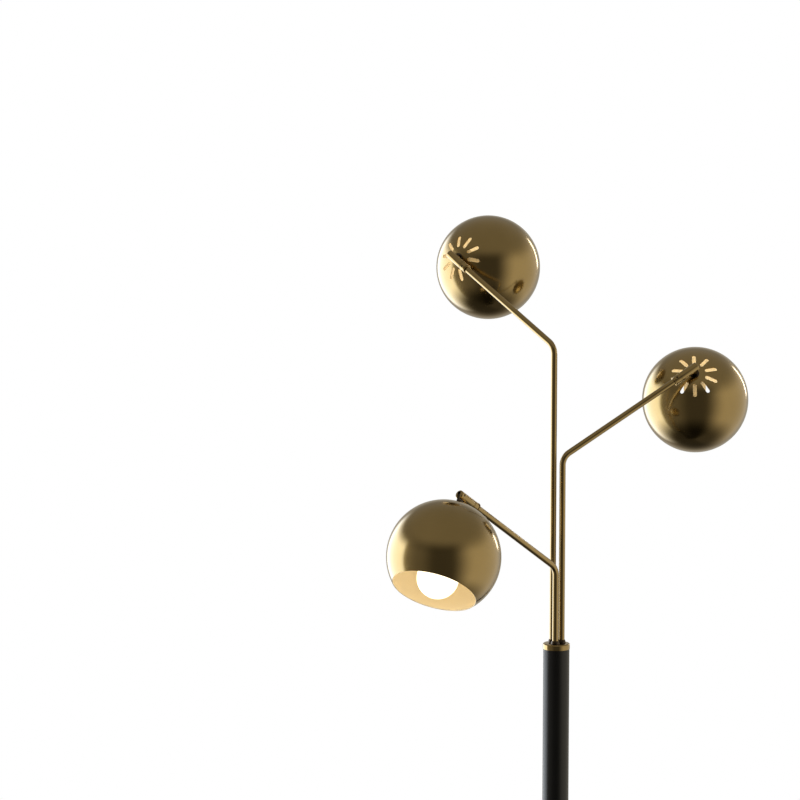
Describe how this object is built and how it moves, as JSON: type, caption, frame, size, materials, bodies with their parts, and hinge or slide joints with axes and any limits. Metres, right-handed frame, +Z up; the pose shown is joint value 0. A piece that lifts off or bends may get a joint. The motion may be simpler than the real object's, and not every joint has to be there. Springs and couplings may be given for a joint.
{
  "type": "tree floor lamp",
  "caption": "Free-standing tree lamp: a round weighted base and pole carry bent arms that turn, each with a ball shade on a swivel and tilt knuckle.",
  "frame": {"origin": "centre of the base's underside, on the floor", "axes": "+Z up along the pole; +X to the right and +Y away from someone who faces the lamp as pictured, with the switch knob on the -X side"},
  "size_m": [0.5638, 0.6033, 1.6518],
  "materials": {
    "black_metal": "satin black powder coat",
    "brass_tube": "antique brass, satin",
    "shade_brass": "antique brass, spun, satin",
    "dark_metal": "dark bronze, polished",
    "steel": "zinc plated",
    "shell_metal": "rolled",
    "cap_metal": "rolled",
    "cast_weight": "as cast",
    "pad_foam": "matt",
    "grommet_rubber": "matt",
    "wire_jacket": "matt",
    "switch_plastic": "moulded",
    "socket_porcelain": "glazed white",
    "bulb_glass": "frosted inside"
  },
  "bodies": {
    "root": {"base_pad": "pad_foam", "base_weight": "cast_weight", "base_cover": "black_metal", "base_bolt": "steel", "foot_collar": "black_metal", "lower_pole": "black_metal", "pole_coupler": "black_metal", "upper_pole": "black_metal", "top_collar": "brass_tube", "ferrules": "dark_metal", "switch_body": "switch_plastic", "switch_nut": "steel", "cord_grommet": "grommet_rubber", "pole_cable": "wire_jacket"},
    "arm_upper": {"arm_tube_upper": "brass_tube", "arm_wire_upper": "wire_jacket", "stem_clip_upper": "steel", "swivel_ring_upper": "brass_tube", "ring_screw_upper": "dark_metal"},
    "swivel_upper": {"swivel_sleeve_upper": "brass_tube", "tilt_pin_upper": "dark_metal"},
    "head_upper": {"tilt_tongue_upper": "dark_metal", "crown_washer_upper": "dark_metal", "shade_upper": "shade_brass", "crown_nut_upper": "steel", "socket_body_upper": "socket_porcelain", "screw_shell_upper": "shell_metal", "bulb_globe_upper": "bulb_glass", "bulb_cap_upper": "cap_metal"},
    "arm_middle": {"arm_tube_middle": "brass_tube", "arm_wire_middle": "wire_jacket", "stem_clip_middle": "steel", "swivel_ring_middle": "brass_tube", "ring_screw_middle": "dark_metal"},
    "swivel_middle": {"swivel_sleeve_middle": "brass_tube", "tilt_pin_middle": "dark_metal"},
    "head_middle": {"tilt_tongue_middle": "dark_metal", "crown_washer_middle": "dark_metal", "shade_middle": "shade_brass", "crown_nut_middle": "steel", "socket_body_middle": "socket_porcelain", "screw_shell_middle": "shell_metal", "bulb_globe_middle": "bulb_glass", "bulb_cap_middle": "cap_metal"},
    "arm_lower": {"arm_tube_lower": "brass_tube", "arm_wire_lower": "wire_jacket", "stem_clip_lower": "steel", "swivel_ring_lower": "brass_tube", "ring_screw_lower": "dark_metal"},
    "swivel_lower": {"swivel_sleeve_lower": "brass_tube", "tilt_pin_lower": "dark_metal"},
    "head_lower": {"tilt_tongue_lower": "dark_metal", "crown_washer_lower": "dark_metal", "shade_lower": "shade_brass", "crown_nut_lower": "steel", "socket_body_lower": "socket_porcelain", "screw_shell_lower": "shell_metal", "bulb_globe_lower": "bulb_glass", "bulb_cap_lower": "cap_metal"},
    "knob": {"switch_knob": "dark_metal"}
  },
  "joints": [
    {"name": "turn_upper", "type": "hinge", "parent": "root", "child": "arm_upper", "pos_m": [-0.00565, 0.00577, 1.008], "axis": [0, 0, 1], "range_deg": [-165, 165]},
    {"name": "swivel_upper", "type": "hinge", "parent": "arm_upper", "child": "swivel_upper", "pos_m": [-0.15793, 0.15079, 1.59119], "axis": [-0.6148, 0.5855, 0.5284], "range_deg": [-165, 165]},
    {"name": "tilt_upper", "type": "hinge", "parent": "swivel_upper", "child": "head_upper", "pos_m": [-0.15793, 0.15079, 1.59119], "axis": [0.5344, -0.1835, 0.8251], "range_deg": [-3, 92]},
    {"name": "turn_middle", "type": "hinge", "parent": "root", "child": "arm_middle", "pos_m": [0.00782, 0.00201, 1.008], "axis": [0, 0, 1], "range_deg": [-160, 100]},
    {"name": "swivel_middle", "type": "hinge", "parent": "arm_middle", "child": "swivel_middle", "pos_m": [0.21141, 0.05466, 1.42369], "axis": [0.8219, 0.2126, 0.5284], "range_deg": [-165, 165]},
    {"name": "tilt_middle", "type": "hinge", "parent": "swivel_middle", "child": "head_middle", "pos_m": [0.21141, 0.05466, 1.42369], "axis": [0.5515, -0.529, -0.645], "range_deg": [-3.3, 91.7]},
    {"name": "turn_lower", "type": "hinge", "parent": "root", "child": "arm_lower", "pos_m": [-0.00217, -0.00777, 1.008], "axis": [0, 0, 1], "range_deg": [-70, 128]},
    {"name": "swivel_lower", "type": "hinge", "parent": "arm_lower", "child": "swivel_lower", "pos_m": [-0.14957, -0.15776, 1.25619], "axis": [-0.5951, -0.6055, 0.5284], "range_deg": [-165, 165]},
    {"name": "tilt_lower", "type": "hinge", "parent": "swivel_lower", "child": "head_lower", "pos_m": [-0.14957, -0.15776, 1.25619], "axis": [-0.7705, 0.6168, -0.1609], "range_deg": [-8, 87]},
    {"name": "switch_turn", "type": "hinge", "parent": "root", "child": "knob", "pos_m": [0, 0, 0.71], "axis": [-1, 0, 0], "continuous": true}
  ]
}
